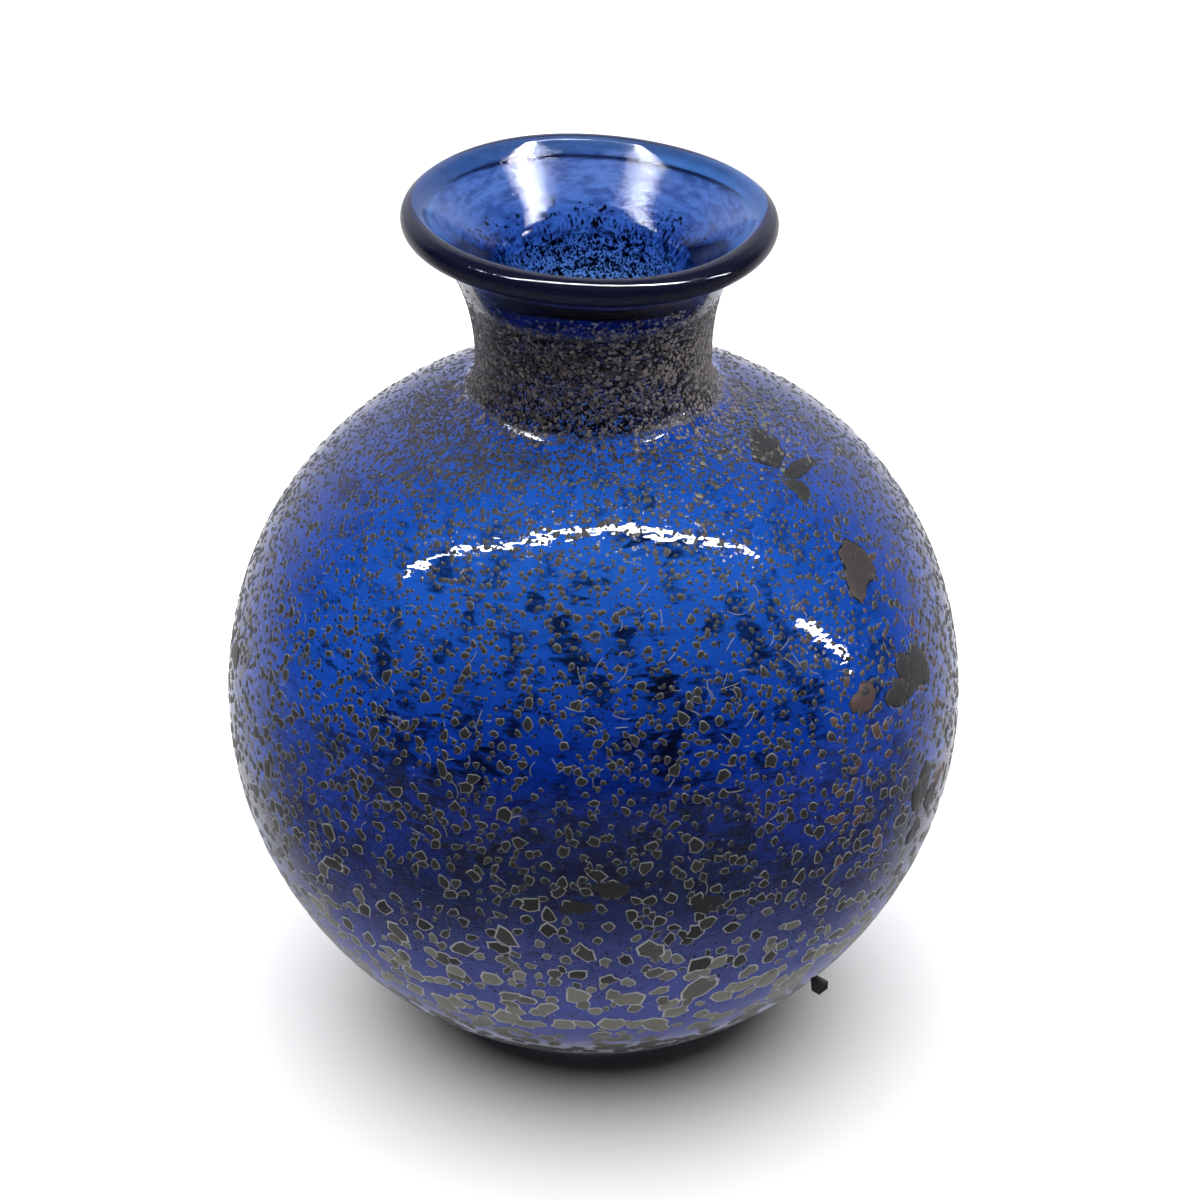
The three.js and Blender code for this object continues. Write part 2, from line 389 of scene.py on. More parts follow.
class Nodes:
    """A node tree that is filled by plain calls."""

    def __init__(self, tree):
        self.tree = tree
        tree.nodes.clear()

    def add(self, kind, settings=None, inputs=None):
        node = self.tree.nodes.new(kind)
        for name, value in (settings or {}).items():
            setattr(node, name, value)
        for name, value in (inputs or {}).items():
            self.feed(node.inputs[name], value)
        return node

    def feed(self, socket, value):
        if isinstance(value, Value):
            self.tree.links.new(value.socket, socket)
        elif isinstance(value, bpy.types.NodeSocket):
            self.tree.links.new(value, socket)
        else:
            socket.default_value = value

    def maths(self, operation, *values):
        node = self.add("ShaderNodeMath", {"operation": operation},
                        {i: value for i, value in enumerate(values)})
        return Value(self, node.outputs[0])

    def between(self, value, low, high):
        """0 below low and 1 above high, eased between; the other way round if low is higher."""
        node = self.add("ShaderNodeMapRange", {"interpolation_type": "SMOOTHSTEP"},
                        {"Value": value, "From Min": low, "From Max": high})
        return Value(self, node.outputs["Result"])

    def noise(self, place, scale, detail=3.0, roughness=0.5, stretch=None):
        """Noise with so many cells to the millimetre, at a place given in metres."""
        size = stretch or (1, 1, 1)
        mapping = self.add("ShaderNodeMapping", None,
                           {"Vector": place, "Scale": [scale / MM * axis for axis in size]})
        node = self.add("ShaderNodeTexNoise", None,
                        {"Vector": mapping.outputs["Vector"], "Scale": 1.0, "Detail": detail,
                         "Roughness": roughness})
        return Value(self, node.outputs["Fac"])

    def cells(self, place, scale):
        """Distance from the middle of irregular cells, and a random value of each cell."""
        node = self.add("ShaderNodeTexVoronoi", None, {"Vector": place, "Scale": scale / MM})
        parts = self.add("ShaderNodeSeparateColor", None, {"Color": node.outputs["Color"]})
        return Value(self, node.outputs["Distance"]), Value(self, parts.outputs["Red"])

    def jagged(self, place, scale, reach):
        """A place pushed about by noise, so that what is drawn there gets an uneven edge."""
        noise = self.add("ShaderNodeTexNoise", None,
                         {"Vector": place, "Scale": scale / MM, "Detail": 1.0})
        centred = self.add("ShaderNodeVectorMath", {"operation": "SUBTRACT"},
                           {0: noise.outputs["Color"], 1: (0.5, 0.5, 0.5)})
        shift = self.add("ShaderNodeVectorMath", {"operation": "SCALE"},
                         {0: centred.outputs[0], "Scale": reach})
        return self.add("ShaderNodeVectorMath", {"operation": "ADD"},
                        {0: place, 1: shift.outputs[0]}).outputs[0]

    def most(self, *values):
        highest = values[0]
        for value in values[1:]:
            highest = self.maths("MAXIMUM", highest, value)
        return highest

    def blend(self, factor, first, second):
        node = self.add("ShaderNodeMix", {"data_type": "RGBA"}, {0: factor, 6: first, 7: second})
        return node.outputs[2]

    def attribute(self, name):
        node = self.add("ShaderNodeAttribute", {"attribute_name": name})
        return Value(self, node.outputs["Fac"])

    def finish(self, shader, volume=None):
        output = self.add("ShaderNodeOutputMaterial", None, {"Surface": shader})
        if volume:
            self.feed(output.inputs["Volume"], volume)


def new_material(name):
    material = bpy.data.materials.new(name)
    material.use_nodes = True
    return material, Nodes(material.node_tree)


def opaque(shade):
    return (*shade, 1)


def absorption(tint, depth):
    """Density and colour of an absorbing volume that lets the tint through at a depth."""
    losses = [-math.log(channel) / depth for channel in tint]
    density = max(losses) * 1.02
    return density, [1 - loss / density for loss in losses]


class GlassPattern:
    """Where the glass is specked, dusty, darkened by painted shade round the foot, under a dull
    film of painted glow, or stained, as values from 0 to 1.
    """

    def __init__(self, nodes, outline):
        self.nodes = nodes
        self.waist = outline.waist_height
        self.rim = outline.rim_height
        self.place = nodes.add("ShaderNodeTexCoord").outputs["Object"]
        parts = nodes.add("ShaderNodeSeparateXYZ", None, {0: self.place})
        self.height = Value(nodes, parts.outputs["Z"])
        self.backwards = Value(nodes, parts.outputs["Y"])
        self.behind = nodes.between(self.backwards, 0, 8 * MM)
        self.outside = nodes.attribute("outside")
        self.inside = nodes.attribute("inside")
        self.patches = nodes.noise(self.place, 0.17, 2.0)
        self.grain = nodes.noise(self.place, 5.0, 2.0, 0.6)
        self.streaks = nodes.noise(self.place, 0.5, 2.0, 0.6, (1, 1, 4))
        self.funnel = self.inside * self.between(self.height, self.waist - 9 * MM,
                                                 self.waist + 7 * MM)
        self.lip = (1 - self.outside) * self.between(self.height, self.rim - 3 * MM,
                                                     self.rim - 2 * MM)

    def between(self, value, low, high):
        return self.nodes.between(value, low, high)

    def under_lip(self):
        """The outside below the lip, and less of it on the side that the photograph hides."""
        below = self.between(self.height, self.waist + 10 * MM, self.waist + 8 * MM)
        return below * self.outside * (1 - 0.7 * self.behind)

    def specks(self):
        """Small dark cells with uneven edges, about two cells of five."""
        near, kind = self.nodes.cells(self.nodes.jagged(self.place, 2.2, 0.35 * MM), 2.6)
        return self.between(near + 1.15 * kind, 0.50, 0.42) * self.under_lip()

    def neck_film(self):
        """A broken dark film from the foot of the neck nearly to the lip."""
        foot = self.between(self.height + 1.6 * MM * (self.patches - 0.5),
                            self.waist - 3.2 * MM, self.waist - 2.5 * MM)
        top = self.between(self.height + 1.2 * MM * (self.streaks - 0.5),
                           self.waist + 8.0 * MM, self.waist + 6.6 * MM)
        broken = self.between(self.grain + 0.35 * self.streaks - 0.14 * self.behind, 0.54, 0.62)
        return foot * top * broken * self.outside

    def dust(self):
        """Fine grains, a little thicker low down."""
        low = self.between(self.height, 42 * MM, 8 * MM)
        return (self.between(self.grain + 0.08 * low + 0.25 * self.patches, 0.86, 0.96)
                * self.under_lip())

    def painted_foot_shade(self):
        """Painted shade round the foot: a dark film that stands in for the shadowed floor that the
        foot mirrors.
        """
        return (self.between(self.height + 3 * MM * (self.patches - 0.5), 10 * MM, 3 * MM)
                * self.outside * (1 - 0.7 * self.behind))

    def painted_glow(self):
        """The dull film on the lower half, whose blue is painted glow standing in for light through
        the glass.
        """
        return (self.between(self.height + 8 * MM * (self.patches - 0.5), 32 * MM, 14 * MM)
                * self.outside * (0.75 - 0.5 * self.behind))

    def stained(self):
        """The funnel, and the lip apart from its front."""
        off_front = self.between(self.backwards, -13 * MM, -6 * MM)
        return self.nodes.most(self.funnel, 0.7 * self.lip * off_front)

    def ripples(self):
        """Slow waves in the body, and a fine unevenness in the funnel."""
        body = self.between(self.height, self.waist + 10 * MM, self.waist + 6 * MM)
        return (self.nodes.noise(self.place, 0.30, 2.0, 0.5, (1, 1, 2.5)) * body
                + 0.2 * self.grain * self.funnel)


def stained_glass(nodes, finish, pattern):
    """What the glass lets through: all that its depth leaves, and less in the mouth."""
    depth_of_stain = nodes.between(pattern.streaks + 0.2 * pattern.grain, 0.42, 0.78)
    stains = nodes.blend(depth_of_stain, opaque(finish.stain), opaque(finish.deep_stain))
    return nodes.blend(pattern.stained(), opaque((1, 1, 1)), stains)


def cobalt_glass(finish, outline):
    """Clear blue glass under dark specks, fine dust, painted shade round the foot, a dull film
    whose colour is painted glow and, on the neck, a dark film.
    """
    material, nodes = new_material("cobalt glass")
    pattern = GlassPattern(nodes, outline)
    dust = pattern.dust()
    painted_foot_shade = pattern.painted_foot_shade()
    neck_film = pattern.neck_film()
    film = nodes.most(pattern.specks(), neck_film, dust, painted_foot_shade)
    shade = nodes.blend(dust, opaque(finish.speck), opaque(finish.dust))
    shade = nodes.blend(neck_film, shade, opaque(finish.neck))
    # Painted shade round the foot.
    shade = nodes.blend(painted_foot_shade, shade, opaque(finish.painted_foot_shade))
    shade = nodes.blend(film, stained_glass(nodes, finish, pattern), shade)
    roughness = (finish.roughness + 0.40 * film + 0.5 * painted_foot_shade
                 + finish.inner_roughness * pattern.inside * (1 - 0.45 * pattern.funnel))
    bump = nodes.add("ShaderNodeBump", None, {
        "Strength": 0.25, "Distance": 0.25 * MM, "Height": pattern.ripples()})
    glass = nodes.add("ShaderNodeBsdfPrincipled", None, {
        "Base Color": shade, "Metallic": film, "Roughness": roughness, "IOR": 1.51,
        "Transmission Weight": 1.0, "Normal": bump.outputs["Normal"]})
    # A dull coat whose colour is painted glow, low on the belly and on the lip.
    dull = nodes.add("ShaderNodeBsdfPrincipled", None, {
        "Base Color": nodes.blend(pattern.lip, opaque(finish.painted_glow), opaque(finish.painted_lip_glow)),
        "Roughness": 0.5, "Specular IOR Level": 0.2})
    # Where the painted glow lies: low on the belly, and on the outside of the lip.
    glow_mask = nodes.most(pattern.painted_glow() * (1 - film), 0.2 * pattern.lip * (1 - pattern.inside))
    surface = nodes.add("ShaderNodeMixShader", None,
                        {0: glow_mask, 1: glass.outputs[0], 2: dull.outputs[0]})
    density, passed = absorption(finish.tint, finish.tint_depth)
    depth = nodes.add("ShaderNodeVolumeAbsorption", None,
                      {"Color": opaque(passed), "Density": density})
    nodes.finish(surface.outputs[0], depth.outputs[0])
    return material


def crust_spots(finish, outline):
    """Dark, dull spots with a pale line round each one, and lilac grains on the neck."""
    material, nodes = new_material("weathering crust")
    place = nodes.add("ShaderNodeTexCoord").outputs["Object"]
    height = Value(nodes, nodes.add("ShaderNodeSeparateXYZ", None, {0: place}).outputs["Z"])
    margin = nodes.attribute("margin")
    tone = nodes.attribute("tone")
    rust = nodes.attribute("rust")
    grain = nodes.noise(place, 5.0, 3.0, 0.65)
    neck = nodes.between(height, outline.waist_height - 4.2 * MM, outline.waist_height - 3.4 * MM)
    heart = nodes.blend(nodes.between(tone + 0.4 * grain, 0.55, 1.15), opaque(finish.heart),
                        opaque(finish.dull))
    lilac = nodes.blend(nodes.between(tone + 0.3 * grain, 0.2, 1.2), opaque(finish.neck_dark),
                        opaque(finish.lilac))
    heart = nodes.blend(neck, heart, lilac)
    heart = nodes.blend(rust, heart, opaque(finish.rust))
    line = (nodes.between(margin + 0.3 * grain, 0.45, 0.80) * (1 - 0.75 * neck)
            * (0.4 + 0.6 * nodes.between(height, 38 * MM, 18 * MM)))
    shade = nodes.blend(line * nodes.between(tone, -0.8, 0.1), heart, opaque(finish.edge))
    # Painted shade: towards the foot the spots turn to the heart's dark colour, standing in for the
    # shadow under the belly.
    foot = nodes.between(height, 14 * MM, 3 * MM)
    shade = nodes.blend(foot, shade, opaque(finish.heart))
    bump = nodes.add("ShaderNodeBump", None,
                     {"Strength": 0.5, "Distance": 0.06 * MM, "Height": grain})
    crust = nodes.add("ShaderNodeBsdfPrincipled", None, {
        "Base Color": shade, "Metallic": 0.25, "Roughness": 0.32 + 0.25 * grain + 0.4 * foot,
        "Normal": bump.outputs["Normal"]})
    nodes.finish(crust.outputs[0])
    return material


# The glass

def spin_outline(points, turns):
    """Draws a section point by point with extrusions and spins it round the flask's axis."""
    deselect_all()
    bpy.ops.mesh.primitive_plane_add(size=1, location=(0, 0, 0))
    piece = bpy.context.object
    edit_mode()
    bpy.ops.mesh.select_all(action="SELECT")
    bpy.ops.mesh.merge(type="CENTER")
    bpy.ops.transform.translate(value=(points[0].x, 0, points[0].y))
    for start, end in zip(points, points[1:]):
        step = (end.x - start.x, 0, end.y - start.y)
        bpy.ops.mesh.extrude_region_move(TRANSFORM_OT_translate={"value": step})
    bpy.ops.mesh.select_all(action="SELECT")
    bpy.ops.mesh.spin(steps=turns, angle=math.tau, center=(0, 0, 0), axis=(0, 0, 1))
    bpy.ops.mesh.select_all(action="SELECT")
    bpy.ops.mesh.remove_doubles(threshold=0.004 * MM)
    bpy.ops.mesh.normals_make_consistent(inside=False)
    object_mode()
    return piece


def read_vertices(mesh):
    places = np.empty(len(mesh.vertices) * 3)
    mesh.vertices.foreach_get("co", places)
    return places.reshape(-1, 3)


def write_vertices(mesh, places):
    mesh.vertices.foreach_set("co", np.asarray(places).ravel())
    mesh.update()


def write_attribute(mesh, name, values):
    attribute = mesh.attributes.new(name, "FLOAT", "POINT")
    attribute.data.foreach_set("value", np.asarray(values, dtype=float))


class FLASK_OT_blow_glass(bpy.types.Operator):
    """Model the hollow glass body, from its pushed-up base to its rounded lip"""
    bl_idname = "flask.blow_glass"
    bl_label = "Blow Glass"

    def execute(self, context):
        scene = context.scene
        outline = Outline(scene.flask_sizes, scene.crust_finish.relief)
        section = (outline.base() + outline.outside() + outline.lip() + outline.throat()
                   + outline.hollow())
        glass = spin_outline(section, scene.flask_sizes.turns)
        places = read_vertices(glass.data)
        radii = np.hypot(places[:, 0], places[:, 1])
        heights = places[:, 2]
        write_attribute(glass.data, "outside", self.near_outside(outline, radii, heights))
        write_attribute(glass.data, "inside", self.near_inside(outline, radii, heights))
        write_vertices(glass.data, np.stack(outline.uneven(*places.T), axis=1))
        for face in glass.data.polygons:
            face.use_smooth = True
        finish_piece(glass, "blown_glass", cobalt_glass(scene.glass_finish, outline))
        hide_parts(NODE)
        return {"FINISHED"}

    def near_outside(self, outline, radii, heights):
        """True for the vertices of the outer wall, from above the foot to below the lip."""
        wall = (outline.base() + outline.outside())[BASE_STEPS:]
        wall_radii = np.interp(heights, [point.y for point in wall], [point.x for point in wall])
        lip_foot = outline.rim_height - 2 * outline.sizes.lip_radius
        return (heights > 0.05 * MM) & (heights < lip_foot) & (radii > wall_radii - WALL_REACH)

    def near_inside(self, outline, radii, heights):
        """True for the vertices of the funnel, the bore and the hollow."""
        near = np.zeros(len(radii), dtype=bool)
        for point in outline.throat() + outline.hollow():
            near |= np.hypot(radii - point.x, heights - point.y) < SAME_PLACE
        return near


# The crust

class Surface:
    """The outside of the glass, as places and directions by height and azimuth."""

    def __init__(self, outline, from_height, to_height):
        points = outline.outside()
        dense = []
        for a, b in zip(points, points[1:]):
            dense += [a.lerp(b, i / 4) for i in range(4)]
        kept = [p for p in dense if from_height <= p.y <= to_height]
        self.outline = outline
        self.radii = np.array([p.x for p in kept])
        self.heights = np.array([p.y for p in kept])
        steps = np.hypot(np.diff(self.radii), np.diff(self.heights))
        areas = steps * (self.radii[1:] + self.radii[:-1]) * math.pi
        self.area = areas.sum()
        self.areas = np.concatenate([[0], np.cumsum(areas)])
        slopes = np.stack([np.gradient(self.radii), np.gradient(self.heights)], axis=1)
        self.slopes = slopes / np.linalg.norm(slopes, axis=1, keepdims=True)

    def height_at(self, area_share):
        return float(np.interp(area_share * self.area, self.areas, self.heights))

    def stand(self, height, azimuth):
        """Place, directions along the ring, up the wall and out of it, and the ring's radius."""
        radius = float(np.interp(height, self.heights, self.radii))
        slope_r = float(np.interp(height, self.heights, self.slopes[:, 0]))
        slope_z = float(np.interp(height, self.heights, self.slopes[:, 1]))
        across = Vector((math.cos(azimuth), math.sin(azimuth), 0))
        outward = Vector((math.sin(azimuth), -math.cos(azimuth), 0))
        place = Vector((radius * outward.x, radius * outward.y, height))
        up = slope_r * outward + Vector((0, 0, slope_z))
        normal = slope_z * outward - Vector((0, 0, slope_r))
        return place, across, up.normalized(), normal.normalized(), radius


# A spot's steep side ends at this height and width, and its gently sloping shoulder is so much
# narrower at the top. The pale line lies on the shoulder.
SPOT_SHOULDER = 0.7
SPOT_SIDE_WIDTH = 0.92
SPOT_TOP_WIDTH = 0.78


def model_spot(sides, seed, poked=False, jag=0.55):
    """One spot of crust, a jagged slab with a sloping shoulder, a unit in radius and height."""
    deselect_all()
    bpy.ops.mesh.primitive_circle_add(vertices=sides, radius=1, fill_type="NGON")
    spot = bpy.context.object
    edit_mode()
    bpy.ops.mesh.select_all(action="SELECT")
    bpy.ops.transform.vertex_random(offset=jag, uniform=0, normal=0, seed=seed)
    bpy.ops.transform.resize(value=(1, 1, 0), center_override=(0, 0, 0))
    bpy.ops.mesh.extrude_region_move(TRANSFORM_OT_translate={"value": (0, 0, SPOT_SHOULDER)})
    bpy.ops.transform.resize(value=(SPOT_SIDE_WIDTH, SPOT_SIDE_WIDTH, 1))
    bpy.ops.mesh.extrude_region_move(TRANSFORM_OT_translate={"value": (0, 0, 1 - SPOT_SHOULDER)})
    bpy.ops.transform.resize(value=(SPOT_TOP_WIDTH, SPOT_TOP_WIDTH, 1))
    bpy.ops.mesh.select_all(action="SELECT")
    bpy.ops.mesh.normals_make_consistent(inside=False)
    if poked:
        select_faces(spot, lambda face: abs(face.normal.z) > 0.9)
        bpy.ops.mesh.poke()
    object_mode()
    return spot


def model_fibre(steps):
    """A straight three-sided thread, two units long and a unit thick."""
    deselect_all()
    bpy.ops.mesh.primitive_circle_add(vertices=3, radius=1, fill_type="NGON",
                                      location=(-1, 0, 0.5), rotation=(0, math.pi / 2, 0))
    fibre = bpy.context.object
    bpy.ops.object.transform_apply(location=True, rotation=True, scale=False)
    edit_mode()
    bpy.ops.mesh.select_all(action="SELECT")
    bpy.ops.transform.resize(value=(1, 0.5, 0.5), center_override=(-1, 0, 0.5))
    for _ in range(steps):
        bpy.ops.mesh.extrude_region_move(TRANSFORM_OT_translate={"value": (2 / steps, 0, 0)})
    bpy.ops.mesh.select_all(action="SELECT")
    bpy.ops.mesh.normals_make_consistent(inside=False)
    object_mode()
    return fibre


class Stamp:
    """The arrays of a modelled spot, ready to be copied on to the glass."""

    def __init__(self, spot, pale=False, line=1.0):
        mesh = spot.data
        self.places = read_vertices(mesh)
        self.loops = np.array([loop.vertex_index for loop in mesh.loops])
        self.counts = np.array([len(face.vertices) for face in mesh.polygons])
        self.margin = line * np.clip((1 - self.places[:, 2]) / (1 - SPOT_SHOULDER), 0, 1)
        if pale:
            self.margin = np.ones(len(self.places))
        bpy.data.objects.remove(spot)


class Look:
    """How thick a spot is, how deep it is set in, its colours and, for a fibre, its bend."""

    def __init__(self, relief, root, tone, rust=0.0, bow=0.0):
        self.relief = relief
        self.root = root
        self.tone = tone
        self.rust = rust
        self.bow = bow


class CrustMesh:
    """Gathers copies of spots, each bent to the glass, and makes one mesh of them."""

    def __init__(self):
        self.places, self.loops, self.counts = [], [], []
        self.margin, self.tone, self.rust = [], [], []
        self.total = 0

    def add(self, stamp, stand, size, turn, look):
        place, across, up, normal, radius = stand
        x = stamp.places[:, 0] * size[0]
        y = stamp.places[:, 1] * size[1] + look.bow * size[0] * stamp.places[:, 0] ** 2
        u = x * math.cos(turn) - y * math.sin(turn)
        v = x * math.sin(turn) + y * math.cos(turn)
        lift = stamp.places[:, 2] * (look.relief + look.root) - look.root
        sag = u * u / (2 * radius) + v * v / (2 * WALL_BEND)
        moved = (np.array(place) + np.outer(u, across) + np.outer(v, up)
                 + np.outer(lift - sag, normal))
        self.gather(stamp, moved, look)

    def gather(self, stamp, places, look):
        self.places.append(places)
        self.loops.append(stamp.loops + self.total)
        self.counts.append(stamp.counts)
        self.margin.append(stamp.margin)
        self.tone.append(np.full(len(places), look.tone))
        self.rust.append(np.full(len(places), look.rust))
        self.total += len(places)

    def make(self, name, outline):
        mesh = bpy.data.meshes.new(name)
        places = np.concatenate(self.places)
        places = np.stack(outline.uneven(*places.T), axis=1)
        loops = np.concatenate(self.loops)
        counts = np.concatenate(self.counts)
        mesh.vertices.add(len(places))
        mesh.vertices.foreach_set("co", places.ravel())
        mesh.loops.add(len(loops))
        mesh.loops.foreach_set("vertex_index", loops)
        mesh.polygons.add(len(counts))
        mesh.polygons.foreach_set("loop_start", np.concatenate([[0], np.cumsum(counts)[:-1]]))
        mesh.update(calc_edges=True)
        write_attribute(mesh, "margin", np.concatenate(self.margin))
        write_attribute(mesh, "tone", np.concatenate(self.tone))
        write_attribute(mesh, "rust", np.concatenate(self.rust))
        piece = bpy.data.objects.new(name, mesh)
        bpy.context.scene.collection.objects.link(piece)
        return piece


class Spacing:
    """Keeps spots from piling up, with a grid of cells to look in."""

    def __init__(self, cell):
        self.cell = cell
        self.taken = {}

    def key(self, place):
        return tuple(int(math.floor(axis / self.cell)) for axis in place)

    def free(self, place, size, closeness):
        a, b, c = self.key(place)
        for i in (a - 1, a, a + 1):
            for j in (b - 1, b, b + 1):
                for k in (c - 1, c, c + 1):
                    for other, reach in self.taken.get((i, j, k), ()):
                        if (other - place).length < closeness * (reach + size):
                            return False
        return True

    def take(self, place, size):
        self.taken.setdefault(self.key(place), []).append((place, size))


# Height above the table, mean radius of a spot, share of the glass covered, and how close spots
# come, where 1 is just touching.
BELLY_SPOTS = (
    (1 * MM, 1.05 * MM, 0.98, 0.54),
    (10 * MM, 1.00 * MM, 0.95, 0.56),
    (17 * MM, 0.88 * MM, 0.82, 0.60),
    (24 * MM, 0.68 * MM, 0.56, 0.68),
    (32 * MM, 0.48 * MM, 0.44, 0.72),
    (41 * MM, 0.36 * MM, 0.35, 0.76),
    (50 * MM, 0.27 * MM, 0.30, 0.80),
    (58 * MM, 0.23 * MM, 0.30, 0.80),
    (64 * MM, 0.18 * MM, 0.45, 0.70),
)
NECK_SPOTS = (
    (61.0 * MM, 0.19 * MM, 0.05, 0.60),
    (62.4 * MM, 0.19 * MM, 0.40, 0.55),
    (64.0 * MM, 0.18 * MM, 0.90, 0.50),
    (71 * MM, 0.17 * MM, 0.90, 0.50),
    (74.0 * MM, 0.15 * MM, 0.50, 0.60),
    (75.4 * MM, 0.14 * MM, 0.05, 0.80),
)
TABLE_REACH = 12 * MM  # how far from a stretch of glass a row of its table still counts
SPOT_FILL = 2.2  # area of a spot over the square of its mean radius
BACK_COVER = 0.3  # the side that the photograph doesn't show has fewer spots
LARGEST_SPOT = 1.9  # in mean radii
WIDEST_GAP = 3.4  # in mean radii, more than any two spots have to keep between their middles
WALL_BEND = 34 * MM  # radius to which spots are bent up and down the wall
FLAKE_JAG = 0.3
FLAKE_LINE = 0.3  # how much of a spot's pale line a flake has

# The dark fleck: where its thread starts (height, and degrees from the front), how far it hangs
# from there, and its half width, thickness and half height.
THREAD_HEIGHT = 15.9 * MM
THREAD_SIDE = 43.1
FLECK_HANG = (0, -1.27 * MM, -2.15 * MM)
FLECK_SIZE = (0.8 * MM, 0.4 * MM, 1.1 * MM)
THREAD_WIDTH = 0.05 * MM

DUST_DOTS = 900
DUST_FIBRES = 420

# Large flakes: azimuth in degrees from the front, height, half width along the ring, half height
# up the wall, lean in degrees, tone and rust.
LARGE_FLAKES = (
    (63.4, 60.3 * MM, 1.9 * MM, 1.7 * MM, 10, 0.25, 0.0),
    (67.5, 58.7 * MM, 1.9 * MM, 0.7 * MM, -8, 0.10, 0.0),
    (60.5, 58.0 * MM, 0.8 * MM, 1.0 * MM, 0, 0.05, 0.0),
    (59.2, 52.2 * MM, 1.5 * MM, 2.7 * MM, -16, 0.35, 0.3),
    (62.5, 42.2 * MM, 1.7 * MM, 2.3 * MM, -12, 0.0, 0.0),
    (56.8, 41.6 * MM, 1.4 * MM, 1.3 * MM, 12, 0.0, 0.0),
    (61.7, 31.0 * MM, 1.3 * MM, 2.1 * MM, -10, 0.15, 0.0),
    (64.5, 28.6 * MM, 0.8 * MM, 1.6 * MM, -14, 0.05, 0.0),
    (60.5, 26.4 * MM, 0.9 * MM, 1.3 * MM, -12, 0.05, 0.0),
    (48.4, 43.0 * MM, 1.2 * MM, 1.3 * MM, 20, 0.3, 0.7),
    (-80.0, 38.4 * MM, 1.0 * MM, 1.6 * MM, 4, 0.05, 0.0),
    (2.4, 31.1 * MM, 0.9 * MM, 0.9 * MM, 15, 0.0, 0.0),
    (-2.5, 29.2 * MM, 0.9 * MM, 0.8 * MM, -20, 0.0, 0.0),
    (16.9, 28.5 * MM, 0.9 * MM, 1.0 * MM, 5, 0.0, 0.0),
    (142.0, 55.0 * MM, 1.4 * MM, 1.1 * MM, 18, 0.2, 0.0),
    (-128.0, 44.0 * MM, 1.2 * MM, 1.5 * MM, -14, 0.1, 0.0),
    (171.0, 30.0 * MM, 1.5 * MM, 1.2 * MM, 6, 0.2, 0.2),
)


def neck_spread(azimuth):
    """How much further down the shoulder the neck's crust reaches, on its left and right."""
    side = math.degrees(azimuth)
    left = math.exp(-((side + 62) / 34) ** 2)
    right = math.exp(-((side - 74) / 26) ** 2)
    return 4.2 * MM * left + 3.2 * MM * right


def no_spread(azimuth):
    """For the crust that stays where its table says."""
    return 0.0


def scatter(surface, table, stamps, rng, crust, tone_at, spread):
    """Lays spots over a stretch of the glass, sized and spaced by height."""
    heights, radii, covers, gaps = (np.array(column) for column in zip(*table))
    settings = bpy.context.scene.crust_finish
    inside = ((heights >= surface.heights[0] - TABLE_REACH)
              & (heights <= surface.heights[-1] + TABLE_REACH))
    densest = max(cover / (SPOT_FILL * radius ** 2)
                  for cover, radius in zip(covers[inside], radii[inside]))
    spacing = Spacing(WIDEST_GAP * radii[inside].max())
    for _ in range(int(surface.area * densest)):
        height = surface.height_at(rng.random())
        azimuth = rng.uniform(-math.pi, math.pi)
        level = height + spread(azimuth) * rng.uniform(0.4, 1)
        radius = float(np.interp(level, heights, radii))
        cover = float(np.interp(level, heights, covers))
        if math.cos(azimuth) < -0.2:
            cover *= BACK_COVER
        if rng.random() > cover / (SPOT_FILL * radius ** 2) / densest:
            continue
        size = radius * min(LARGEST_SPOT, rng.lognormvariate(-0.06, 0.34))
        stand = surface.stand(height, azimuth)
        if not spacing.free(stand[0], size, float(np.interp(level, heights, gaps))):
            continue
        spacing.take(stand[0], size)
        stretch = rng.uniform(0.78, 1.28)
        tone, rust = tone_at(height, azimuth, rng)
        look = Look(settings.relief * rng.uniform(0.5, 1.0), settings.root, tone, rust)
        crust.add(rng.choice(stamps), stand, (size * stretch, size / stretch),
                  rng.uniform(0, math.tau), look)


def belly_tone(height, azimuth, rng):
    """Spots are paler low down, painted light standing in for the pale floor that they mirror, and
    some on the right are reddish.
    """
    low = 1 - min(1, max(0, (height - 14 * MM) / (15 * MM)))
    side = math.degrees(azimuth)
    reddish = 36 < side < 78 and 28 * MM < height < 52 * MM and rng.random() < 0.3
    return rng.uniform(0, 0.45) + 0.75 * low, rng.uniform(0.4, 1) if reddish else 0.0


def neck_tone(height, azimuth, rng):
    """The neck is dark, with painted light making it lighter towards its right side."""
    lit = max(0, math.sin(azimuth + 0.1))
    return rng.uniform(0, 0.6) + lit * rng.uniform(0.1, 0.9), 0.2 * rng.random()


# Stretches of crust: name, lower and upper height, spots by height, corners of a spot, its tone
# and how far it spreads down the shoulder.
CRUST_BANDS = (
    ("crust_underside", 1.2 * MM, 24 * MM, BELLY_SPOTS, 9, belly_tone, no_spread),
    ("crust_belly", 24 * MM, 48 * MM, BELLY_SPOTS, 8, belly_tone, no_spread),
    ("crust_shoulder", 48 * MM, 62.4 * MM, BELLY_SPOTS, 6, belly_tone, no_spread),
    ("crust_neck", 57 * MM, 75.4 * MM, NECK_SPOTS, 5, neck_tone, neck_spread),
)
SPOT_SHAPES = 12  # modelled for each stretch


def lay_band(band, material, outline, seed):
    name, from_height, to_height, table, corners, tone_at, spread = band
    rng = random.Random(seed)
    stamps = [Stamp(model_spot(corners, seed * 20 + i)) for i in range(SPOT_SHAPES)]
    crust = CrustMesh()
    surface = Surface(outline, from_height, to_height)
    scatter(surface, table, stamps, rng, crust, tone_at, spread)
    finish_piece(crust.make(name, outline), name, material)


